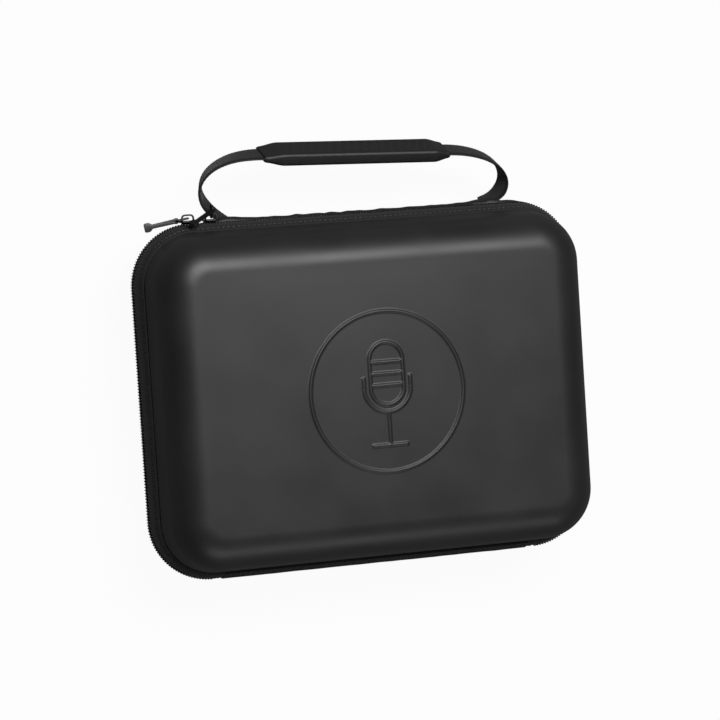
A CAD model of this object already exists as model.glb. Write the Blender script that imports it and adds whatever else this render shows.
import math

import bmesh
import bpy
import numpy as np
from mathutils import Matrix, Vector


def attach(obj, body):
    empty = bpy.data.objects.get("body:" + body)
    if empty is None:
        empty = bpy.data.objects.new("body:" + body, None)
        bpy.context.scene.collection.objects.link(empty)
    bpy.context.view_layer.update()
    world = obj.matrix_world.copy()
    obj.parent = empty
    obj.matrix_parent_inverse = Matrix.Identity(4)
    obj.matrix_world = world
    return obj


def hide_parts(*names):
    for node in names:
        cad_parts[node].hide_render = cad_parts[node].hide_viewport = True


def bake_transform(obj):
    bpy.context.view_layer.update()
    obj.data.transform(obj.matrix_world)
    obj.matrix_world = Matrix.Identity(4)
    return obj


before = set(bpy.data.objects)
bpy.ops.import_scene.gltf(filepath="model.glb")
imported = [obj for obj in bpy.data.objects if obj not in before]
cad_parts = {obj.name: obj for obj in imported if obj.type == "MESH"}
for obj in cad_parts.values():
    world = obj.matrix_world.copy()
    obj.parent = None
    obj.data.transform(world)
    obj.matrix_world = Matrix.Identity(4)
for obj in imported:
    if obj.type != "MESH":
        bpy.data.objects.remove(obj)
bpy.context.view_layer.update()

# ---------------------------------------------------------------- camera
# A long lens a good two metres away, a little above and to the left of the lid's middle.
# The case leans a few degrees in the picture, so the camera is rolled.
parting_z = 0.048
yaw, pitch, roll = math.radians(18.04), math.radians(3.79), math.radians(3.71)
distance = 2.141
px_per_m = 1542.0
picture = 720
middle_x, middle_y = 363.4, 387.9

across = Vector((math.cos(yaw), 0, math.sin(yaw)))
back = Vector((-math.sin(yaw) * math.cos(pitch), math.sin(pitch), math.cos(yaw) * math.cos(pitch)))
up = back.cross(across)
right = across * math.cos(roll) - up * math.sin(roll)
above = across * math.sin(roll) + up * math.cos(roll)


def placed(name, data):
    """An object in the scene, made from a mesh, a curve, a lamp or a lens."""
    piece = bpy.data.objects.new(name, data)
    bpy.context.scene.collection.objects.link(piece)
    return piece


lens = bpy.data.cameras.new("Camera")
lens.sensor_width = 36
lens.lens = px_per_m * distance / picture * lens.sensor_width
lens.shift_x = (picture / 2 - middle_x) / picture
lens.shift_y = (middle_y - picture / 2) / picture
camera = placed("Camera", lens)
turn = Matrix((right, above, back)).transposed().to_4x4()
camera.matrix_world = Matrix.Translation(Vector((0, 0, parting_z)) + back * distance) @ turn
bpy.context.scene.camera = camera

# ---------------------------------------------------------------- studio
# White paper under the case, a soft box high above its handle side, a weaker one overhead and
# one low in front. Only the camera and glass see the paper and the backdrop at full white.
bpy.context.scene.view_settings.view_transform = "Standard"


def linear(text):
    """sRGB hex to linear RGBA."""
    parts = [int(text[i:i + 2], 16) / 255 for i in (1, 3, 5)]
    return [c / 12.92 if c <= 0.04045 else ((c + 0.055) / 1.055) ** 2.4 for c in parts] + [1.0]


def fill(tree, node, inputs):
    """Give each input its value, or link it to a socket."""
    for key, value in inputs.items():
        if isinstance(value, bpy.types.NodeSocket):
            tree.links.new(value, node.inputs[key])
        else:
            node.inputs[key].default_value = value


def add(tree, kind, inputs=None, **settings):
    """A node with its settings and inputs."""
    node = tree.nodes.new(kind)
    for key, value in settings.items():
        setattr(node, key, value)
    fill(tree, node, inputs or {})
    return node


def new_material(name):
    made = bpy.data.materials.new(name)
    made.use_nodes = True
    return made, made.node_tree, made.node_tree.nodes["Principled BSDF"]


world = bpy.data.worlds.new("studio_white")
bpy.context.scene.world = world
world.use_nodes = True
tree = world.node_tree
seen = add(tree, "ShaderNodeLightPath")
direct = add(tree, "ShaderNodeMath", {0: seen.outputs["Is Camera Ray"], 1: seen.outputs["Is Transmission Ray"]},
             operation="MAXIMUM")
amount = add(tree, "ShaderNodeMapRange", {0: direct.outputs[0], 3: 0.13, 4: 1.0})
fill(tree, tree.nodes["Background"], {"Strength": amount.outputs[0]})

paper, tree, bsdf = new_material("matt_white_paper")
# Uncoated paper, lit by itself for the camera, and darker than white for what the case reflects.
fill(tree, bsdf, {"Base Color": linear("#6A6A6A"), "Roughness": 0.9})
seen = add(tree, "ShaderNodeLightPath")
direct = add(tree, "ShaderNodeMath", {0: seen.outputs["Is Camera Ray"], 1: seen.outputs["Is Transmission Ray"]},
             operation="MAXIMUM")
share = add(tree, "ShaderNodeMath", {0: direct.outputs[0], 1: 0.8}, operation="MULTIPLY")
white = add(tree, "ShaderNodeEmission", {"Color": (1, 1, 1, 1), "Strength": 1.19})
mixed = add(tree, "ShaderNodeMixShader", {0: share.outputs[0], 1: bsdf.outputs[0], 2: white.outputs[0]})
fill(tree, tree.nodes["Material Output"], {"Surface": mixed.outputs[0]})


def mesh_from(name, made):
    """A mesh from a bmesh, which is freed."""
    mesh = bpy.data.meshes.new(name)
    made.to_mesh(mesh)
    made.free()
    return mesh


sheet = bmesh.new()
bmesh.ops.create_grid(sheet, x_segments=1, y_segments=1, size=8)
floor = placed("floor", mesh_from("floor", sheet))
floor.location.z = -0.001
floor.data.materials.append(paper)


def soft_box(name, place, size, watts):
    """A rectangular lamp aimed at the middle of the case."""
    lamp = bpy.data.lights.new(name, "AREA")
    lamp.shape = "RECTANGLE"
    lamp.size, lamp.size_y = size
    lamp.energy = watts
    body = placed(name, lamp)
    body.location = place
    body.rotation_euler = (Vector((0, 0, 0.05)) - Vector(place)).to_track_quat("-Z", "Y").to_euler()


soft_box("key_box", (0.2, 0.9, 2.0), (1.6, 0.6), 40)
soft_box("overhead_box", (-0.1, 0.5, 2.3), (0.8, 0.6), 6)
soft_box("low_box", (0.1, -1.6, 1.0), (1.6, 0.5), 6)

# ---------------------------------------------------------------- outline of the case
# Both shells are moulded to one rounded outline, so every rim, tape and shell is swept round it.
# Sections are lists of [s, t] in mm: s inward from the widest outline, t away from the parting plane.
half_w, half_h, corner = 150.0, 114.0, 40.0
run_x, run_y = half_w - corner, half_h - corner
parting = parting_z * 1000


def stations_of(step):
    """Stations on the straight legs in x and in y: every step mm, or the pair that is given."""
    if isinstance(step, tuple):
        return step
    return tuple(np.linspace(-run, run, max(1, round(2 * run / step)) + 1) for run in (run_x, run_y))


def outline(step, turns):
    """Points on the widest outline from bottom left round by the right, their outward normals and the way along."""
    spots, ways = [], []
    legs = [((-run_x, -half_h), (run_x, -half_h), (0, -1)), ((half_w, -run_y), (half_w, run_y), (1, 0)),
            ((run_x, half_h), (-run_x, half_h), (0, 1)), ((-half_w, run_y), (-half_w, -run_y), (-1, 0))]
    centres = [(run_x, -run_y), (run_x, run_y), (-run_x, run_y), (-run_x, -run_y)]
    for k, (a, b, way) in enumerate(legs):
        at = stations_of(step)[k % 2]
        for f in (at[:-1] - at[0]) / (at[-1] - at[0]):
            spots.append((a[0] + (b[0] - a[0]) * f, a[1] + (b[1] - a[1]) * f))
            ways.append(way)
        for i in range(turns):
            angle = math.radians(-90 + 90 * k + 90 * i / turns)
            ways.append((math.cos(angle), math.sin(angle)))
            spots.append((centres[k][0] + corner * ways[-1][0], centres[k][1] + corner * ways[-1][1]))
    spots, ways = np.array(spots), np.array(ways)
    legs_out = np.linalg.norm(np.roll(spots, -1, 0) - spots, axis=1)
    return spots, ways, np.concatenate([[0], np.cumsum(legs_out)])


def swept(section, side, step=4.0, turns=20, part=None):
    """Vertices, faces and UVs (mm along and across) of a closed section swept round the outline, or a part of it."""
    spots, ways, along = outline(step, turns)
    keep = np.arange(len(spots)) if part is None else part(spots, ways, along)
    section = np.array(section, float)
    rows, cols = len(keep), len(section)
    spots, ways, u = spots[keep], ways[keep], along[:-1][keep]
    s, t = section[:, 0], section[:, 1]
    xy = spots[:, None, :] - ways[:, None, :] * s[None, :, None]
    z = np.broadcast_to(side * t[None, :], (rows, cols)) + parting
    verts = np.dstack([xy, z]).reshape(-1, 3)
    v = np.concatenate([[0], np.cumsum(np.linalg.norm(np.roll(section, -1, 0) - section, axis=1))])
    faces, uvs = [], []
    whole = part is None
    for i in range(rows if whole else rows - 1):
        j = (i + 1) % rows
        u0, u1 = u[i], (along[-1] if whole and j == 0 else u[j])
        for k in range(cols):
            m = (k + 1) % cols
            faces.append((i * cols + k, j * cols + k, j * cols + m, i * cols + m))
            uvs.append(((u0, v[k]), (u1, v[k]), (u1, v[k + 1]), (u0, v[k + 1])))
    if not whole:
        for i, order in ((0, range(cols)), (rows - 1, range(cols - 1, -1, -1))):
            faces.append(tuple(i * cols + k for k in order))
            uvs.append(tuple((s[k], t[k]) for k in order))
    return verts, faces, uvs


def build(name, parts, material, body, stands_for=(), sharp=35, weld=None):
    """One smooth-shaded object in metres from parts of (vertices in mm, faces, uvs)."""
    verts, faces, uvs, start = [], [], [], 0
    for part in parts:
        verts.append(np.asarray(part[0], float))
        faces += [tuple(i + start for i in f) for f in part[1]]
        uvs += list(part[2]) if len(part) > 2 else [((0, 0),) * len(f) for f in part[1]]
        start += len(part[0])
    mesh = bpy.data.meshes.new(name)
    mesh.from_pydata((np.concatenate(verts) / 1000).tolist(), [], faces)
    layer = mesh.uv_layers.new(name="cloth")
    layer.data.foreach_set("uv", np.array([c for face in uvs for p in face for c in p], np.float32))
    made = bmesh.new()
    made.from_mesh(mesh)
    if weld:
        bmesh.ops.remove_doubles(made, verts=made.verts, dist=weld)
    bmesh.ops.recalc_face_normals(made, faces=made.faces)
    made.to_mesh(mesh)
    made.free()
    mesh.polygons.foreach_set("use_smooth", [True] * len(mesh.polygons))
    mesh.set_sharp_from_angle(angle=math.radians(sharp))
    mesh.materials.append(material)
    piece = placed(name, mesh)
    if stands_for:
        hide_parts(*stands_for)
    if body:
        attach(piece, body)
    return piece


# ---------------------------------------------------------------- shells
# Lid and base are EVA foam, pressed hot in a mould under a coated cloth skin.
# The lid carries a raised mark, pressed in the same stroke: a ring round a plain microphone.
depth, wall, face_r, draft = 48.0, 5.0, 24.0, math.radians(8)
rim_s, rim_t, lip = 5.6, 12.2, 0.8
bind_from, bind_to = 3.0, 10.9
face_x, face_y, crown = 118.6, 82.6, 0.9
mark_r, mark_line, mark_h = 52.0, 1.8, 0.8
grain_mm = 0.7

skin, tree, bsdf = new_material("coated_eva_satin_black")
# Polyurethane skin: IOR 1.5, satin, with a leather-like grain of 0.7 mm that only breaks up the gloss.
place = add(tree, "ShaderNodeTexCoord")
grain = add(tree, "ShaderNodeTexVoronoi", {"Vector": place.outputs["Object"], "Scale": 1000 / grain_mm},
            feature="SMOOTH_F1")
clouds = add(tree, "ShaderNodeTexNoise", {"Vector": place.outputs["Object"], "Scale": 22.0, "Detail": 4.0})
tint = add(tree, "ShaderNodeValToRGB", {0: clouds.outputs["Fac"]})
for stop, position, tone in zip(tint.color_ramp.elements, (0.35, 0.7), ("#232323", "#282828")):
    stop.position, stop.color = position, linear(tone)
gloss = add(tree, "ShaderNodeMapRange", {0: clouds.outputs["Fac"], 1: 0.3, 2: 0.7, 3: 0.40, 4: 0.47})
bump = add(tree, "ShaderNodeBump", {"Height": grain.outputs["Distance"], "Strength": 0.12, "Distance": 0.0002})
fill(tree, bsdf, {"IOR": 1.5, "Base Color": tint.outputs[0], "Roughness": gloss.outputs[0],
                  "Normal": bump.outputs[0]})


def arc(cs, ct, r, a0, a1, n):
    """Points of a section on an arc from a0 to a1 degrees."""
    turns = [math.radians(a0 + (a1 - a0) * i / n) for i in range(n + 1)]
    return [[cs + r * math.cos(a), ct + r * math.sin(a)] for a in turns]


def bind_s(t):
    """Inset of the binding's outer face, t from the parting plane."""
    return 1.0 + 3.8 * (t - bind_from) / (bind_to - bind_from)


arc_s = rim_s + face_r * math.cos(draft) + math.tan(draft) * (depth - rim_t - lip - face_r * (1 - math.sin(draft)))


def skin_line(off, n):
    """Side wall and rounded edge, off inward from the outer surface, up to the flat face."""
    line = arc(arc_s, depth - face_r, face_r - off, 172, 90, n)
    foot = rim_t + lip if off == 0 else rim_t
    slope = line[0][0] - math.tan(draft) * (line[0][1] - foot)
    rise = [[slope + (line[0][0] - slope) * f, foot + (line[0][1] - foot) * f] for f in (0, 0.34, 0.67)]
    return rise + line


def plate(t, side, xs, ys, height=None):
    """Flat middle of a shell as a grid, t from the parting plane, with an optional relief."""
    gx, gy = np.meshgrid(xs, ys, indexing="ij")
    gz = np.full_like(gx, t) + (height(gx, gy) if height else 0)
    verts = np.dstack([gx, gy, parting + side * gz]).reshape(-1, 3)
    n = len(ys)
    faces = [(i * n + j, (i + 1) * n + j, (i + 1) * n + j + 1, i * n + j + 1)
             for i in range(len(xs) - 1) for j in range(n - 1)]
    uvs = [tuple((verts[k][0], verts[k][1]) for k in f) for f in faces]
    return verts, faces, uvs


def capped(section, side, step, turns, first=None, last=None):
    """A section swept round, from the middle's edge and back to it, and closed there by two flat middles."""
    verts, faces, uvs = swept(section, side, step, turns)
    kept = [i for i in range(len(faces)) if i % len(section) != len(section) - 1]
    grid = stations_of(step)
    return [(verts, [faces[i] for i in kept], [uvs[i] for i in kept]),
            plate(section[0][1], side, *grid, first), plate(section[-1][1], side, *grid, last)]


def swell(x, y):
    """The flat face isn't quite flat: it crowns a little in the middle."""
    fx, fy = np.clip(1 - (x / face_x) ** 2, 0, 1), np.clip(1 - (y / face_y) ** 2, 0, 1)
    return crown * (fx * fy) ** 0.9 * np.minimum(1, 6 * fx) * np.minimum(1, 6 * fy)


def raised_mark(x, y):
    """Relief of the mark, in soft-edged lines: ring, head with three bars, yoke, stem and foot."""
    line = mark_line
    head_w, head_h, head_y = mark_r * 0.46, mark_r * 0.34, mark_r * 0.22
    yoke_w, foot_y = head_w + line * 5, -mark_r * 0.64
    low, arm_top = head_y - head_h / 2, head_y - head_h * 0.1

    def stroke(cx, cy, w, h):
        return np.maximum(abs(x - cx) - w / 2, abs(y - cy) - h / 2)

    gap = abs(np.hypot(x, y) - (mark_r - line / 2)) - line / 2
    body = np.hypot(x, y - np.clip(y, low, low + head_h)) - (head_w - line) / 2
    gap = np.minimum(gap, abs(body) - line / 2)
    for row in (-1, 0, 1):
        gap = np.minimum(gap, stroke(0, head_y + head_h * 0.42 * row, head_w - 2 * line, line))
    yoke = abs(np.hypot(x, y - low) - (yoke_w - line) / 2) - line / 2
    gap = np.minimum(gap, np.where(y <= low, yoke, 99))
    for side in (-1, 1):
        gap = np.minimum(gap, stroke(side * (yoke_w - line) / 2, (low + arm_top) / 2, line, arm_top - low))
    top = low - yoke_w / 2
    gap = np.minimum(gap, stroke(0, (top + foot_y) / 2 + line / 4, line, top - foot_y + line / 2))
    gap = np.minimum(gap, stroke(0, foot_y - line / 2, head_w, line))
    soft = np.clip(0.5 - gap / 1.1, 0, 1)
    return mark_h * soft * soft * (3 - 2 * soft)


tongue_out, tongue_in = bind_s(bind_from) + 2.3, bind_s(bind_from) + 6.3


def shell(name, side, body, node, mark):
    """One moulded half: its tongue under the tape, its wall and its face, which has a fine grid under the mark."""
    outer = [[tongue_out, bind_from], [bind_s(rim_t) + 2.3, rim_t], [rim_s + lip, rim_t]]
    outer += skin_line(0, 26) + [[corner - 6.0, depth], [corner, depth]]
    inner = [[corner, depth - wall]] + skin_line(wall, 10)[::-1] + [[tongue_in, bind_from]]
    reach = mark_r + 4
    fine = np.arange(-reach, reach + 0.01, 0.56 if mark else 8.0)
    xs, ys = (np.concatenate([np.linspace(-run, -reach, n)[:-1], fine, np.linspace(reach, run, n)[1:]])
              for run, n in ((run_x, 9), (run_y, 4)))
    relief = (lambda x, y: swell(x, y) + raised_mark(x, y)) if mark else swell
    parts = capped(inner + outer, side, (xs, ys), 24, last=relief)
    verts = parts[0][0]
    on_face = side * (verts[:, 2] - parting) > depth - 0.5
    verts[on_face, 2] += side * swell(verts[on_face, 0], verts[on_face, 1])
    build(name, parts, skin, body, (node,), sharp=40, weld=2e-6)


shell("lid_skin", 1, "lid", "lid_shell", True)
shell("base_skin", -1, "case_base", "base_shell", False)

# ---------------------------------------------------------------- binding
# A folded strip of black grosgrain ribbon over each rim, sewn through shell and zip tape.
# It hides the cut edge of the foam; its ribs run across it.
ribbon, tree, bsdf = new_material("woven_grosgrain_black")
# Polyester: matt with a faint sheen. Real ribs are 0.5 mm apart; 2.2 mm here, so that they show.
rib_mm = 2.2
lay = add(tree, "ShaderNodeUVMap", uv_map="cloth")
ribs = add(tree, "ShaderNodeTexWave", {"Vector": lay.outputs[0], "Scale": math.tau / (20 * rib_mm)},
           wave_type="BANDS", bands_direction="X")
fluff = add(tree, "ShaderNodeTexNoise", {"Vector": lay.outputs[0], "Scale": 0.6, "Detail": 3.0})
tint = add(tree, "ShaderNodeMix", {0: ribs.outputs["Fac"], 6: linear("#0C0C0C"), 7: linear("#1A1A1A")},
           data_type="RGBA")
uneven = add(tree, "ShaderNodeMix", {0: fluff.outputs["Fac"], 6: tint.outputs[2], 7: linear("#161616")},
             data_type="RGBA")
bump = add(tree, "ShaderNodeBump", {"Height": ribs.outputs["Fac"], "Strength": 0.5, "Distance": 0.0002})
fill(tree, bsdf, {"Roughness": 0.78, "Sheen Weight": 0.12, "Sheen Roughness": 0.5,
                  "Base Color": uneven.outputs[2], "Normal": bump.outputs[0]})

ribbon_t = 1.4
ribbon_section = [[bind_s(t) - 0.45 * math.sin(math.pi * (t - bind_from) / (bind_to - bind_from)), t]
                  for t in np.linspace(bind_from, bind_to, 9)]
ribbon_section += [[bind_s(t) + ribbon_t, t] for t in np.linspace(bind_to, bind_from, 5)]

thread, tree, bsdf = new_material("bonded_nylon_thread")
# Sewing thread: smooth, slightly glossy, twisted finer than a pixel.
fill(tree, bsdf, {"Base Color": linear("#1B1B1B"), "Roughness": 0.5})
stitch_pitch, stitch_l, thread_r = 3.4, 2.5, 0.32


def lofted(rings):
    """Faces between equal rings of points, with both ends closed."""
    rings = np.asarray(rings, float)
    rows, cols = rings.shape[:2]
    faces = []
    for i in range(rows - 1):
        for k in range(cols):
            m = (k + 1) % cols
            faces.append((i * cols + k, (i + 1) * cols + k, (i + 1) * cols + m, i * cols + m))
    faces.append(tuple(range(cols))[::-1])
    faces.append(tuple((rows - 1) * cols + k for k in range(cols)))
    return rings.reshape(-1, 3), faces


def stitches(points, ways):
    """Sunk stitches: short round-ended lengths of thread at each point, along its way."""
    parts = []
    for p, way in zip(points, ways):
        way = Vector(way).normalized()
        side = way.orthogonal().normalized()
        other = way.cross(side)
        rings = []
        for f in np.linspace(-1, 1, 5):
            r = thread_r * math.sqrt(max(0.06, 1 - f ** 4))
            rings.append([Vector(p) + way * (f * stitch_l / 2) + (side * math.cos(a) + other * math.sin(a)) * r
                          for a in np.arange(6) * math.tau / 6])
        parts.append(lofted(rings))
    return parts


def along_outline(pitch, inset, t, side, inside=lambda x, y: True):
    """Points every pitch mm round the outline at inset and t, with their directions."""
    spots, ways, along = outline(1.0, 60)
    out, dirs = [], []
    count = round(along[-1] / pitch)
    closed = np.vstack([spots, spots[:1]])
    for i in range(count):
        d = along[-1] * (i + 0.5) / count
        k = int(np.searchsorted(along, d) - 1)
        f = (d - along[k]) / (along[k + 1] - along[k])
        p = closed[k] * (1 - f) + closed[k + 1] * f
        w = ways[k] * (1 - f) + ways[(k + 1) % len(ways)] * f
        w = w / np.linalg.norm(w)
        if inside(*p):
            out.append((p[0] - w[0] * inset, p[1] - w[1] * inset, parting + side * t))
            dirs.append((-w[1], w[0], 0))
    return out, dirs


seam_t = 9.2
for side, body, node in ((1, "lid", "lid"), (-1, "case_base", "base")):
    build(f"{node}_ribbon", [swept(ribbon_section, side, step=5.0)], ribbon, body, (f"{node}_binding",))
    seam = along_outline(stitch_pitch, bind_s(seam_t) - 0.3, seam_t, side)
    build(f"{node}_rim_stitching", stitches(*seam), thread, body)

# ---------------------------------------------------------------- zip
# A black No. 8 coil zip: nylon wire wound into teeth and sewn to woven tape.
# The two coils interlock, each tooth of one between two of the other.
tape_cloth, tree, bsdf = new_material("woven_zip_tape_black")
# Polyester twill tape, matt. Its lines are drawn 1.7 mm apart, coarser than they are, so that they show.
lay = add(tree, "ShaderNodeUVMap", uv_map="cloth")
twill = add(tree, "ShaderNodeTexWave", {"Vector": lay.outputs[0], "Scale": 0.26},
            wave_type="BANDS", bands_direction="DIAGONAL")
tint = add(tree, "ShaderNodeMix", {0: twill.outputs["Fac"], 6: linear("#0A0A0A"), 7: linear("#141414")},
           data_type="RGBA")
bump = add(tree, "ShaderNodeBump", {"Height": twill.outputs["Fac"], "Strength": 0.3, "Distance": 0.0002})
fill(tree, bsdf, {"Roughness": 0.85, "Sheen Weight": 0.1, "Base Color": tint.outputs[2], "Normal": bump.outputs[0]})

coil_nylon, tree, bsdf = new_material("drawn_nylon_coil_black")
# Nylon 6.6 monofilament: IOR 1.53, polished by the slider, so that each tooth has its own small glint.
fill(tree, bsdf, {"Base Color": linear("#2A2A2A"), "IOR": 1.53, "Roughness": 0.28})

tooth_pitch, tooth_half, tooth_deep, tooth_in = 1.9, 0.40, 0.78, 0.8
tooth_ring = [tuple(math.copysign(abs(c) ** 0.75, c) for c in (math.cos(a), math.sin(a)))
              for a in np.arange(8) * math.tau / 8]
tooth_levels = [(-0.75, 0.35), (-0.55, 0.8), (0.3, 1.0), (1.9, 1.0), (2.7, 0.8), (2.95, 0.35)]


def teeth(side, stagger):
    """Every tooth of one half: a rounded bar across the chain, reaching a little past the parting plane."""
    parts = []
    for p, way in zip(*along_outline(tooth_pitch, 0, 0, 1, lambda x, y: y > 0.01 - half_h or abs(x) >= run_x)):
        d, out = np.array(way[:2]), np.array((way[1], -way[0]))
        rings = []
        for t, fat in tooth_levels:
            ring = [p[:2] + d * (a * tooth_half * fat + stagger * tooth_pitch) - out * (tooth_in - b * tooth_deep * fat)
                    for a, b in tooth_ring]
            rings.append([(x, y, parting + side * t) for x, y in ring])
        parts.append(lofted(rings))
    return parts


def not_bottom(spots, ways, along):
    """Stations of the outline that the zip follows: all but the straight bottom."""
    bottom = np.where((spots[:, 1] < -half_h + 0.01) & (abs(spots[:, 0]) <= run_x + 0.01))[0]
    return np.concatenate([np.arange(bottom.max(), len(spots)), [0]])


cord_section = [[1.25, 0.35], [3.2, 0.35], [3.2, 3.0], [1.25, 2.85]]
tape_section = [[bind_s(t) + inset, t]
                for inset, t in ((ribbon_t, bind_from), (ribbon_t, bind_to), (2.3, bind_to), (2.3, bind_from))]
for side, body, node, stagger in ((1, "lid", "lid", 0.0), (-1, "case_base", "base", 0.5)):
    build(f"{node}_zip_cord", [swept(cord_section, side, part=not_bottom)], tape_cloth, body)
    build(f"{node}_zip_teeth", teeth(side, stagger), coil_nylon, body, (f"{node}_coil",), sharp=60)
    build(f"{node}_zip_tape", [swept(tape_section, side, step=5.0)], tape_cloth, body, (f"{node}_tape",))

# ---------------------------------------------------------------- hinge strip
# One wide band of the same ribbon joins both rims along the bottom edge, sewn to each binding.
# It is the only hinge: it folds at the parting plane when the lid opens.
stop_l, stop_gap, strip_t = 6.0, 0.4, 1.0
strip_half = run_x - stop_l - stop_gap
lengths = np.linspace(-strip_half, strip_half, 131)
wing = np.linspace(bind_from, bind_to, 8)
heights = np.concatenate([-wing[:0:-1], np.linspace(-bind_from, bind_from, 9), wing[1:]])
rng = np.random.default_rng(7)
pucker = np.interp(lengths, np.linspace(-strip_half, strip_half, 30), rng.normal(0, 0.10, 30))
rings = []
for i, x in enumerate(lengths):
    outer, inner = [], []
    for t in heights:
        base_s = bind_s(max(bind_from, abs(t)))
        bead = 0.35 * math.exp(-((abs(t) - bind_to + 0.6) / 0.7) ** 2)
        fold = -0.25 * math.cos(t / bind_from * math.pi / 2) if abs(t) < bind_from else 0
        wave = pucker[i] * math.sin(abs(t) / bind_to * math.pi)
        outer.append((x, -half_h + base_s - strip_t - bead + fold + wave, parting + t))
        inner.append((x, -half_h + base_s - 0.05, parting + t))
    rings.append(outer + inner[::-1])
verts, faces = lofted(rings)
cols = len(rings[0])
uvs = [((lengths[i], k), (lengths[i + 1], k), (lengths[i + 1], k + 1), (lengths[i], k + 1))
       for i in range(len(lengths) - 1) for k in range(cols)] + [((0, 0),) * cols] * 2
hinge = build("hinge_strip", [(verts, faces, uvs)], ribbon, None, ("hinge_strip_base", "hinge_strip_lid"))
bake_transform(hinge)
for side, body in ((1, "lid"), (-1, "case_base")):
    for t, tag in ((9.0, "outer"), (5.2, "inner")):
        seam = [(x, -half_h + bind_s(t) - strip_t - 0.12, parting + side * t)
                for x in np.arange(-strip_half + 2, strip_half - 1, stitch_pitch)]
        build(f"hinge_stitching_{tag}_{body}", stitches(seam, [(1, 0, 0)] * len(seam)), thread, body)

# ---------------------------------------------------------------- end stops
# Pressed metal clips close round the last teeth at both ends of the zip.
zinc, tree, bsdf = new_material("black_painted_zinc")
# Zinc under thin black enamel, IOR 1.55: satin and a little uneven. The enamel hides the metal.
place = add(tree, "ShaderNodeTexCoord")
specks = add(tree, "ShaderNodeTexNoise", {"Vector": place.outputs["Object"], "Scale": 900.0, "Detail": 3.0})
tint = add(tree, "ShaderNodeMix", {0: specks.outputs["Fac"], 6: linear("#0B0B0B"), 7: linear("#161616")},
           data_type="RGBA")
gloss = add(tree, "ShaderNodeMapRange", {0: specks.outputs["Fac"], 3: 0.34, 4: 0.5})
fill(tree, bsdf, {"IOR": 1.55, "Base Color": tint.outputs[2], "Roughness": gloss.outputs[0]})


def oblong(w, h, power, n):
    """Superellipse ring of n points, w by h."""
    out = []
    for k in range(n):
        a = math.tau * (k + 0.5) / n
        x, y = (math.copysign(abs(c) ** (2 / power), c) for c in (math.cos(a), math.sin(a)))
        out.append((x * w / 2, y * h / 2))
    return out


for side, tag in ((-1, "left"), (1, "right")):
    x0 = run_x - stop_l if side > 0 else -run_x
    rings = []
    for f in np.linspace(0, 1, 15):
        grow = 0.72 + 0.28 * min(1, 6 * f, 6 * (1 - f)) - 0.1 * math.exp(-((f - 0.5) / 0.08) ** 2)
        rings.append([(x0 + stop_l * f, -half_h + 1.6 - a * grow, parting - 1.6 - b * grow)
                      for a, b in oblong(3.1, 2.8, 4, 20)])
    build(f"zip_end_{tag}", [lofted(rings)], zinc, "case_base", (f"zip_stop_{tag}",), sharp=50)

# ---------------------------------------------------------------- sliders and pulls
# Two die-cast sliders meet at the left end of the top edge. Each has a crown, and a wire ring
# in it that holds a flat pull tab.
slider_l, slider_w, plate_t, plate_y, crown_gap, crown_t = 10.0, 9.2, 1.5, 0.4, 2.8, 1.3
tab_end, shaft_end, tip_w, shaft_w, eye_r, hole_r = 21.0, 16.0, 5.4, 2.6, 1.7, 0.7


def slider_parts():
    """Slider along x, chain's outer face at y = 0, parting plane at z = 0."""
    rings = []
    for f in np.linspace(-1, 1, 21):
        wide = slider_w * (1 - 0.30 * max(0, f) ** 2) * (1 - 0.16 * f ** 6)
        thick = plate_t * (1 - 0.35 * abs(f) ** 5)
        rings.append([(f * slider_l / 2, plate_y + plate_t / 2 + b * thick, a * wide)
                      for a, b in oblong(1, 1, 4.5, 28)])
    body = lofted(rings)
    flange = lofted([[(x, -0.1 + a, -4.0 + b * 1.15) for a, b in oblong(1, 1, 3.5, 14)]
                     for x in np.linspace(-3.3, 3.3, 8)])
    top = plate_y + plate_t
    rise = crown_gap + crown_t / 2
    path = [(-3.8, top - 0.2)]
    path += [(x, top + f * rise) for x, f in ((-3.78, 0.3), (-3.6, 0.62), (-3.1, 0.86), (-2.2, 0.98), (-1.1, 1.0))]
    path += [(-x, y) for x, y in path[::-1]]
    hoop = []
    for i, p in enumerate(path):
        a, b = path[max(0, i - 1)], path[min(len(path) - 1, i + 1)]
        d = Vector((b[0] - a[0], b[1] - a[1])).normalized()
        side_way = Vector((-d.y, d.x))
        hoop.append([(p[0] + side_way.x * n, p[1] + side_way.y * n, w)
                     for n, w in oblong(crown_t * 0.85, 2.1, 3, 12)])
    return body, flange, lofted(hoop)


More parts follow.
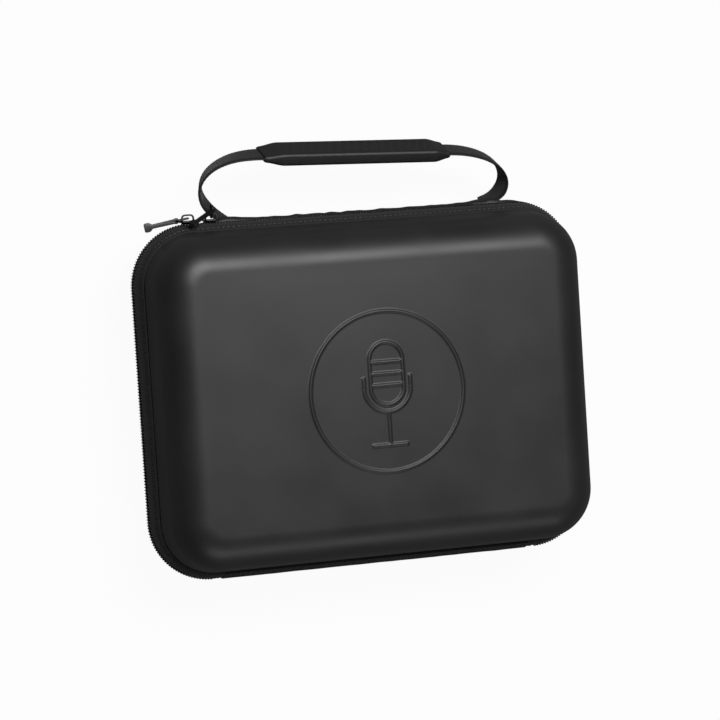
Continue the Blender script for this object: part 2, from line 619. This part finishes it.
def pull_tab_part():
    """Tab with a punched hole, a thin shaft and a wide tip, its hole at the origin, along +x."""
    curve = bpy.data.curves.new("tab_outline", "CURVE")
    curve.dimensions = "2D"
    curve.fill_mode = "BOTH"
    eye = [(eye_r * math.cos(a), eye_r * math.sin(a)) for a in np.linspace(math.radians(52), math.radians(308), 26)]
    arm = [(3.2, -shaft_w / 2), (shaft_end, 0.15 - shaft_w / 2), (shaft_end + 1.4, 0.4 - tip_w / 2),
           (shaft_end + 2.2, -tip_w / 2), (tab_end - 0.6, -tip_w / 2), (tab_end, 0.5 - tip_w / 2)]
    hole = [(hole_r * math.cos(a), hole_r * math.sin(a)) for a in np.arange(20) * math.tau / 20]
    for ring in (eye + arm + [(x, -y) for x, y in arm[::-1]], hole):
        spline = curve.splines.new("POLY")
        spline.points.add(len(ring) - 1)
        spline.points.foreach_set("co", [c for x, y in ring for c in (x, y, 0, 1)])
        spline.use_cyclic_u = True
    curve.extrude = 0.45
    curve.bevel_depth = 0.25
    curve.bevel_resolution = 2
    holder = placed("tab_outline", curve)
    bpy.context.view_layer.update()
    shape = bpy.data.meshes.new_from_object(holder.evaluated_get(bpy.context.evaluated_depsgraph_get()))
    part = (np.array([v.co for v in shape.vertices]), [tuple(p.vertices) for p in shape.polygons])
    bpy.data.objects.remove(holder)
    bpy.data.curves.remove(curve)
    bpy.data.meshes.remove(shape)
    return part


def moved(part, matrix):
    """The part with its vertices taken through a matrix."""
    m = np.array(matrix)
    return np.asarray(part[0], float) @ m[:3, :3].T + m[:3, 3], part[1]


def spin(axis, degrees):
    return Matrix.Rotation(math.radians(degrees), 4, axis)


def shift(x, y, z):
    return Matrix.Translation((x, y, z))


# The left ring lies away from the handle, 9 degrees below level, with its tab in line with it. The
# right ring stands up, leaning 37 degrees to the front, and its tab hangs from its front leg.
left_fall, right_lean, tab_turn = 9.0, 37.0, 52.0
slider_apart, ring_reach = 15.5, 7.8
at_left = shift(-run_x, half_h, parting)
at_right = shift(slider_apart - run_x, half_h, parting)
ring_left = at_left @ shift(0, plate_y + plate_t + crown_gap / 2, 0) @ spin("Z", 180 + left_fall)
ring_right = at_right @ shift(0, plate_y + plate_t + crown_gap + crown_t / 2, 0) @ spin("X", right_lean)
tab_left = ring_left @ shift(ring_reach, 0, 0)
tab_right = ring_right @ shift(0, 3.9, 2.2) @ spin("Y", -90 - tab_turn) @ spin("X", -90)
for tag, at, tab in (("left", at_left, tab_left), ("right", at_right, tab_right)):
    body, flange, hoop = (moved(p, at) for p in slider_parts())
    build(f"zip_slider_{tag}", [body, flange], zinc, f"slider_{tag}", (f"slider_{tag}",), sharp=50)
    build(f"zip_crown_{tag}", [hoop], zinc, f"slider_{tag}", (f"slider_{tag}_bridge",), sharp=60)
    build(f"zip_tab_{tag}", [moved(pull_tab_part(), tab)], zinc, f"tab_{tag}", (f"pull_{tag}_tab",),
          weld=1e-5)
    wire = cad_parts[f"pull_{tag}_ring"]
    wire.data.materials.clear()
    wire.data.materials.append(zinc)

# ---------------------------------------------------------------- padded strip
# Behind the zip on the top edge: coated cloth over a thin foam core, glued to the shell and
# sewn down at both roots of the handle, where it is pulled up by the webbing.
coated, tree, bsdf = new_material("coated_cloth_black")
# PVC-coated polyester: satin, with the print of the cloth below, drawn 1.2 mm apart.
lay = add(tree, "ShaderNodeUVMap", uv_map="cloth")
warp, weft = (add(tree, "ShaderNodeTexWave", {"Vector": lay.outputs[0], "Scale": 0.26, "Distortion": 0.4},
                  wave_type="BANDS", bands_direction=direction) for direction in "XY")
both = add(tree, "ShaderNodeMath", {0: warp.outputs["Fac"], 1: weft.outputs["Fac"]}, operation="MULTIPLY")
tint = add(tree, "ShaderNodeMix", {0: both.outputs[0], 6: linear("#1F1F1F"), 7: linear("#272727")}, data_type="RGBA")
bump = add(tree, "ShaderNodeBump", {"Height": both.outputs[0], "Strength": 0.25, "Distance": 0.0002})
fill(tree, bsdf, {"IOR": 1.5, "Roughness": 0.5, "Base Color": tint.outputs[2], "Normal": bump.outputs[0]})

handle_x, root_x, root_y, root_t, tilt = 8.0, 90.0, 2.0, 15.0, math.radians(21)
left_root, right_root = handle_x - root_x, handle_x + root_x
strip_from, corner_turn = left_root - 12.0, math.radians(32)
pad_front, pad_back, pad_h, wall_from = 5.3, 24.5, 0.9, 13.0
peak_h, peak_out, peak_in = 2.0, 6.5, 13.0


def wall_s(t):
    """Inset of the shell's side wall, t from the parting plane."""
    return rim_s + math.tan(draft) * (t - rim_t - lip)


stations = [((x, half_h), (0.0, 1.0), x - strip_from) for x in np.arange(strip_from, run_x, 1.25)]
for a in np.linspace(0, corner_turn, 20):
    way = math.sin(a), math.cos(a)
    stations.append(((run_x + corner * way[0], run_y + corner * way[1]), way, run_x - strip_from + corner * a))
rng = np.random.default_rng(11)
total = stations[-1][2]
along_pad = [u for _, _, u in stations]
ripple_top = np.interp(along_pad, np.linspace(0, total, 60), rng.normal(0, 0.14, 60))
ripple_side = np.interp(along_pad, np.linspace(0, total, 60), rng.normal(0, 0.22, 60))
rings = []
for i, (spot, way, u) in enumerate(stations):
    x = strip_from + u
    high = pad_h + ripple_top[i]
    for root, inward in ((left_root, 1), (right_root, -1)):
        d = (x - root) * inward
        high += peak_h * (math.exp(-(d / peak_out) ** 2) if d < 0 else math.exp(-(d / peak_in) ** 1.5))
    end = min(1, (u + 0.6) / 3.0, (total - u + 0.6) / 9.0)
    low = 0.35 + 0.65 * math.sqrt(max(0, end * (2 - end)))
    section = [(bind_s(pad_front), pad_front), (bind_s(bind_to), bind_to),
               (wall_s(wall_from), wall_from), (wall_s(pad_back), pad_back)]
    for a in np.radians(np.linspace(0, 180, 19)[1:-1]):
        c = math.cos(a)
        t = (pad_front + pad_back) / 2 + math.copysign(abs(c) ** 0.55, c) * (pad_back - pad_front) / 2
        surface = wall_s(max(t, wall_from)) if t > bind_to else bind_s(t)
        peak = -(high + ripple_side[i] * math.sin(3 * a)) * low
        section.append((surface + (peak - surface) * abs(math.sin(a)) ** 0.45, t))
    rings.append([(spot[0] - way[0] * inset, spot[1] - way[1] * inset, parting - t) for inset, t in section])
verts, faces = lofted(rings)
cols = len(rings[0])
uvs = [tuple((stations[k // cols][2], (k % cols) * 1.2) for k in f) for f in faces]
padding = build("handle_padding", [(verts, faces, uvs)], coated, "case_base",
                ("handle_strip", "anchor_left", "anchor_right"), sharp=50)

# ---------------------------------------------------------------- webbing
# One length of nylon webbing, 20 mm wide, sewn into the padded strip at both ends and run
# through the grip. It bows out beside the roots and twists a little there.
nylon, tree, bsdf = new_material("woven_nylon_webbing_black")
# Nylon 6: matt with a soft sheen on the raised threads; its ribs are modelled, the threads, 1 mm
# apart, are bump.
lay = add(tree, "ShaderNodeUVMap", uv_map="cloth")
strands = add(tree, "ShaderNodeTexWave", {"Vector": lay.outputs[0], "Scale": 0.3, "Distortion": 0.6},
              wave_type="BANDS", bands_direction="Y")
tint = add(tree, "ShaderNodeMix", {0: strands.outputs["Fac"], 6: linear("#0C0C0C"), 7: linear("#181818")},
           data_type="RGBA")
bump = add(tree, "ShaderNodeBump", {"Height": strands.outputs["Fac"], "Strength": 0.4, "Distance": 0.0002})
fill(tree, bsdf, {"Roughness": 0.6, "Sheen Weight": 0.15, "Sheen Roughness": 0.4,
                  "Base Color": tint.outputs[2], "Normal": bump.outputs[0]})

grip_y, grip_x, grip_l, web_w, web_t = 39.0, -4.0, 126.0, 20.0, 2.0
web_rib, web_twist, web_shoulder = 2.2, math.radians(18), 16.5
bow_left, bow_right = (30.5, 15.0), (19.0, 5.5)
grip_fall = math.tan(math.radians(2.2))


def from_handle(x, y, z):
    """Handle frame (x along, y up, z forward) to the case's frame, in mm."""
    return (handle_x + x, half_h + root_y + y * math.cos(tilt) - z * math.sin(tilt),
            parting - root_t + y * math.sin(tilt) + z * math.cos(tilt))


def web_half(side, out, rise):
    """Middle line from just inside a root to the grip, bowed out beside the root."""
    a, b, c, d = (np.array(p) for p in ((root_x, 0), (root_x + out, rise), (root_x + web_shoulder, grip_y),
                                        (grip_l / 2 + side * grip_x, grip_y)))
    lead = (b - a) / np.linalg.norm(b - a)
    bow = [a - lead * inside for inside in (4, 2.5, 1.2)]
    bow += [(1 - u) ** 3 * a + 3 * u * (1 - u) ** 2 * b + 3 * u * u * (1 - u) * c + u ** 3 * d
            for u in np.linspace(0, 1, 90)]
    return np.array(bow) * (side, 1)


path = np.vstack([web_half(-1, *bow_left), web_half(1, *bow_right)[::-1]])
lengths_out = np.concatenate([[0], np.cumsum(np.linalg.norm(np.diff(path, axis=0), axis=1))])
even = np.arange(0, lengths_out[-1], 0.8)
path = np.column_stack([np.interp(even, lengths_out, path[:, 0]), np.interp(even, lengths_out, path[:, 1])])
path[:, 1] -= grip_fall * path[:, 0] * np.minimum(1, path[:, 1] / (grip_y - web_t))
run = np.gradient(path, axis=0)
run /= np.linalg.norm(run, axis=1)[:, None]
arc_left, arc_right = (np.abs(path[:, 0] - (grip_x + side * grip_l / 2)).argmin() for side in (-1, 1))
rings = []
for i, (p, d) in enumerate(zip(path, run)):
    beyond = max(0.0, 1 - i / arc_left, (i - arc_right) / (len(path) - 1 - arc_right))
    twist = -web_twist * math.sin(math.pi * beyond ** 1.6) if i < arc_left else 0
    wide = web_w / 2 * (1 - 0.3 * max(0, (beyond - 0.8) / 0.2))
    way = Vector((d[0], d[1], 0))
    over = Vector((0, 0, 1))
    over.rotate(Matrix.Rotation(twist, 3, way))
    face = over.cross(way).normalized()
    ring = []
    for v in np.linspace(-1, 1, 17):
        edge = math.sqrt(max(0.0, 1 - abs(v) ** 7))
        lean = 1.6 * (abs((v * 2.5) % 2 - 1) - 0.5)
        ribs = 0.22 * abs(math.sin(math.pi * (even[i] + lean) / web_rib))
        ring.append((v, edge * (web_t / 2 - 0.2 + ribs)))
    ring += [(v, -h) for v, h in ring[::-1]]
    rings.append([from_handle(*(Vector((p[0], p[1], 0)) + over * (v * wide) + face * h)) for v, h in ring])
verts, faces = lofted(rings)
cols = len(rings[0])
uvs = [tuple((even[k // cols], min(k % cols, cols - 1 - k % cols) * 1.25) for k in f) for f in faces]
webbing = build("carry_webbing", [(verts, faces, uvs)], nylon, None, ("handle_webbing",), sharp=60)
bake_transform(webbing)

# ---------------------------------------------------------------- grip
# Soft moulded rubber in an upper and a lower half, welded round the webbing.
# Its outer face has a row of plain raised ribs; its ends thin out onto the webbing.
rubber, tree, bsdf = new_material("moulded_soft_rubber_black")
# Thermoplastic rubber, IOR 1.5, moulded against a spark-eroded tool: an even fine grain of 0.5 mm.
place = add(tree, "ShaderNodeTexCoord")
erode = add(tree, "ShaderNodeTexNoise", {"Vector": place.outputs["Object"], "Scale": 1800.0, "Detail": 2.0})
tint = add(tree, "ShaderNodeMix", {0: erode.outputs["Fac"], 6: linear("#191919"), 7: linear("#232323")},
           data_type="RGBA")
gloss = add(tree, "ShaderNodeMapRange", {0: erode.outputs["Fac"], 3: 0.42, 4: 0.56})
bump = add(tree, "ShaderNodeBump", {"Height": erode.outputs["Fac"], "Strength": 0.15, "Distance": 0.0002})
fill(tree, bsdf, {"IOR": 1.5, "Base Color": tint.outputs[2], "Roughness": gloss.outputs[0],
                  "Normal": bump.outputs[0]})

grip_w, grip_t, edge_r = 25.0, 8.6, 2.4
thin_left, thin_right = 14, 11
panel_l, panel_w, panel_deep, bar_pitch, bar_h = 100.0, 16.4, 0.35, 6.0, 0.75
lean = Matrix.Rotation(-math.atan(grip_fall), 3, "Z")
for sign, name, node in ((1, "grip_upper", "grip_top"), (-1, "grip_lower", "grip_bottom")):
    rings = []
    for x in np.concatenate([[-grip_l / 2], np.arange(-grip_l / 2 + 0.3, grip_l / 2 - 0.2, 0.65), [grip_l / 2]]):
        taper = max(0.0, 1 - (grip_l / 2 - abs(x)) / (thin_left if x < 0 else thin_right))
        ease = taper * taper * (3 - 2 * taper)
        wide = grip_w / 2 - 1.6 * ease - 0.5 * max(0, (taper - 0.9) * 10)
        thick = grip_t / 2 - 1.9 * ease - 0.5 * max(0, (taper - 0.9) * 10)
        bend = min(edge_r, thick - 0.1)
        edge = [(wide, 0.02)] + [(wide + bend * (math.cos(a) - 1), thick + bend * (math.sin(a) - 1))
                                 for a in np.linspace(0, math.pi / 2, 8)]
        flat = [(z, thick) for z in np.linspace(wide - bend, bend - wide, 42)[1:-1]]
        ring = []
        for z, y in edge + flat + [(-z, y) for z, y in edge[::-1]]:
            if sign > 0 and abs(z) < 9.5:
                panel = min(1, max(0, (panel_l / 2 - abs(x + 1)) / 1.2))
                panel *= min(1, max(0, (panel_w / 2 - abs(z)) / 0.8))
                bars = 0.5 + 0.5 * math.cos(math.tau * (x + 0.45 * z) / bar_pitch)
                y += panel * (bar_h * bars ** 2 - panel_deep)
            ring.append((x, y, z))
        roof = web_t / 2 + 0.05
        channel = [(wide - 1.2, 0.02), (web_w / 2 + 0.1, 0.02), (web_w / 2, roof)]
        ring += [(x, y, -z) for z, y in channel] + [(x, roof, 0)] + [(x, y, z) for z, y in channel[::-1]]
        rings.append([from_handle(*(lean @ Vector((grip_x + px, sign * py, pz)) + Vector((0, grip_y, 0))))
                      for px, py, pz in ring])
    build(name, [lofted(rings)], rubber, "handle", (node,), sharp=50)

# ---------------------------------------------------------------- lining
# Black knitted polyester, laminated to both shells before they are pressed, and turned over the
# rim, where the binding and the zip are sewn through it.
knit, tree, bsdf = new_material("knitted_lining_black")
# Brushed knit: very matt, with a short nap, its loops drawn 1.4 mm apart.
place = add(tree, "ShaderNodeTexCoord")
loops = add(tree, "ShaderNodeTexVoronoi", {"Vector": place.outputs["Object"], "Scale": 700.0})
tint = add(tree, "ShaderNodeMix", {0: loops.outputs["Distance"], 6: linear("#0E0E0F"), 7: linear("#1C1C1D")},
           data_type="RGBA")
bump = add(tree, "ShaderNodeBump", {"Height": loops.outputs["Distance"], "Strength": 0.3, "Distance": 0.0003})
fill(tree, bsdf, {"Roughness": 0.95, "Sheen Weight": 0.25, "Sheen Roughness": 0.5,
                  "Base Color": tint.outputs[2], "Normal": bump.outputs[0]})

knit_t = 0.8
for side, body, node in ((1, "lid", "lid"), (-1, "case_base", "base")):
    outer = [[3.35, 2.95], [tongue_in, 2.95]] + skin_line(wall, 8) + [[corner, depth - wall]]
    inner = [[corner, depth - wall - knit_t]] + skin_line(wall + knit_t, 8)[::-1]
    inner += [[tongue_in + knit_t, 2.6], [tongue_in + 0.3, 2.3], [3.6, 2.3], [3.35, 2.5]]
    build(f"{node}_knit_lining", capped(inner + outer, side, 8.0, 16), knit, body, (f"{node}_lining",),
          sharp=50, weld=2e-6)

# ---------------------------------------------------------------- foam inserts
# Cross-linked polyethylene foam, cut to shape on a water jet and pressed into each shell:
# a trough for the microphone, a finger notch, and wells for its clip and cable.
cell_foam, tree, bsdf = new_material("closed_cell_foam_charcoal")
# Closed-cell foam: matt, with cells of 0.8 mm that show as fine pits.
cell_mm = 0.8
place = add(tree, "ShaderNodeTexCoord")
cells = add(tree, "ShaderNodeTexVoronoi", {"Vector": place.outputs["Object"], "Scale": 1000 / cell_mm})
tint = add(tree, "ShaderNodeMix", {0: cells.outputs["Distance"], 6: linear("#1E1E1F"), 7: linear("#303031")},
           data_type="RGBA")
bump = add(tree, "ShaderNodeBump", {"Height": cells.outputs["Distance"], "Strength": 0.5, "Distance": 0.0003})
fill(tree, bsdf, {"Roughness": 0.9, "Base Color": tint.outputs[2], "Normal": bump.outputs[0]})

mic_r, mic_l, mic_y, notch_r, notch_t = 28.0, 206.0, 44.0, 33.0, 14.0
well_top, well_h, well_r = mic_y - mic_r - 12.0, 70.0, 8.0
wells = [(-116.0, 96.0), (-8.0, 124.0)]
base_well, lid_well = 33.0, 10.0
foam_top, foam_gap, pad_t, voxel = 1.0, 0.3, 6.0, 2.0
foam_off = wall + knit_t + foam_gap


def box_cutter(name, corners_low, corners_high):
    """A box of the cutting path with rounded upright edges, in the case's frame."""
    made = bmesh.new()
    bmesh.ops.create_cube(made, size=1)
    low, high = Vector(corners_low) / 1000, Vector(corners_high) / 1000
    for v in made.verts:
        v.co = Vector([low[i] if v.co[i] < 0 else high[i] for i in range(3)])
    upright = [e for e in made.edges if abs(e.verts[0].co.z - e.verts[1].co.z) > 1e-4]
    bmesh.ops.bevel(made, geom=upright, offset=well_r / 1000, segments=6, affect="EDGES", profile=0.5)
    return placed(name, mesh_from(name, made))


def round_cutter(name, axis, r, h, centre):
    """A cylinder of the cutting path, along X or Z."""
    made = bmesh.new()
    bmesh.ops.create_cone(made, cap_ends=True, segments=96, radius1=r / 1000, radius2=r / 1000, depth=h / 1000)
    if axis == "X":
        bmesh.ops.rotate(made, verts=made.verts, matrix=Matrix.Rotation(math.pi / 2, 3, "Y"))
    bmesh.ops.translate(made, verts=made.verts, vec=Vector(centre) / 1000)
    return placed(name, mesh_from(name, made))


def foam_insert(name, side, body, node, deep_t, well_depth, notch):
    """Insert as far as deep_t from the parting plane, cut, then remeshed so that its cut edges are soft."""
    line = skin_line(foam_off, 8)
    at_deep = float(np.interp(deep_t, [t for s, t in line], [s for s, t in line]))
    section = [[corner, foam_top], [tongue_in + knit_t + foam_gap, foam_top]]
    section += [p for p in line if p[1] < deep_t - 0.05] + [[at_deep, deep_t], [corner, deep_t]]
    block = build(name, capped(section, side, 8.0, 12), cell_foam, None, weld=1e-5)
    cuts = [round_cutter("cut_trough", "X", mic_r, mic_l, (0, mic_y, parting))]
    if notch:
        cuts.append(round_cutter("cut_notch", "Z", notch_r, 2 * notch_t, (0, mic_y, parting)))
    for x0, long in wells:
        low, high = sorted((parting - side * 2, parting + side * well_depth))
        cuts.append(box_cutter("cut_well", (x0, well_top - well_h, low), (x0 + long, well_top, high)))
    for cut in cuts:
        op = block.modifiers.new("cut", "BOOLEAN")
        op.operation, op.object, op.solver = "DIFFERENCE", cut, "EXACT"
    soft = block.modifiers.new("soft", "REMESH")
    soft.mode, soft.voxel_size = "VOXEL", voxel / 1000
    smooth = block.modifiers.new("smooth", "SMOOTH")
    smooth.iterations, smooth.factor = 3, 0.5
    bpy.context.view_layer.update()
    shape = bpy.data.meshes.new_from_object(block.evaluated_get(bpy.context.evaluated_depsgraph_get()))
    block.modifiers.clear()
    block.data = shape
    shape.polygons.foreach_set("use_smooth", [True] * len(shape.polygons))
    for cut in cuts:
        bpy.data.objects.remove(cut)
    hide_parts(node)
    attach(block, body)


foam_deep = depth - foam_off
foam_floor = foam_deep - pad_t
foam_insert("base_foam_insert", -1, "case_base", "base_foam", foam_floor, base_well, True)
foam_insert("lid_foam_insert", 1, "lid", "lid_foam", foam_deep, lid_well, False)

# ---------------------------------------------------------------- floor pad
# A softer pad of the same foam under the base's insert, die-cut and pressed in, so that its upper
# edge is rounded and its top dented.
line = [p for p in skin_line(foam_off, 24) if p[1] > foam_floor + 1.2]
edge_s = line[0][0] + 0.2
section = [[corner, foam_floor + 0.15], [edge_s + 3.0, foam_floor + 0.15], [edge_s + 0.9, foam_floor + 0.3]]
section += [[edge_s, foam_floor + 1.0]] + line + [[arc_s, foam_deep], [corner, foam_deep]]


def dimpled(x, y):
    """The insert's weight has pressed shallow hollows into the pad."""
    fade = np.clip((run_x - abs(x)) / 12, 0, 1) * np.clip((run_y - abs(y)) / 12, 0, 1)
    return fade * 0.25 * (1 + np.sin(x / 17) * np.sin(y / 13 + x / 41))


floor_pad = build("base_soft_pad", capped(section, -1, 2.0, 16, first=dimpled), cell_foam, "case_base",
                  ("base_floor_pad",), sharp=60, weld=1e-5)
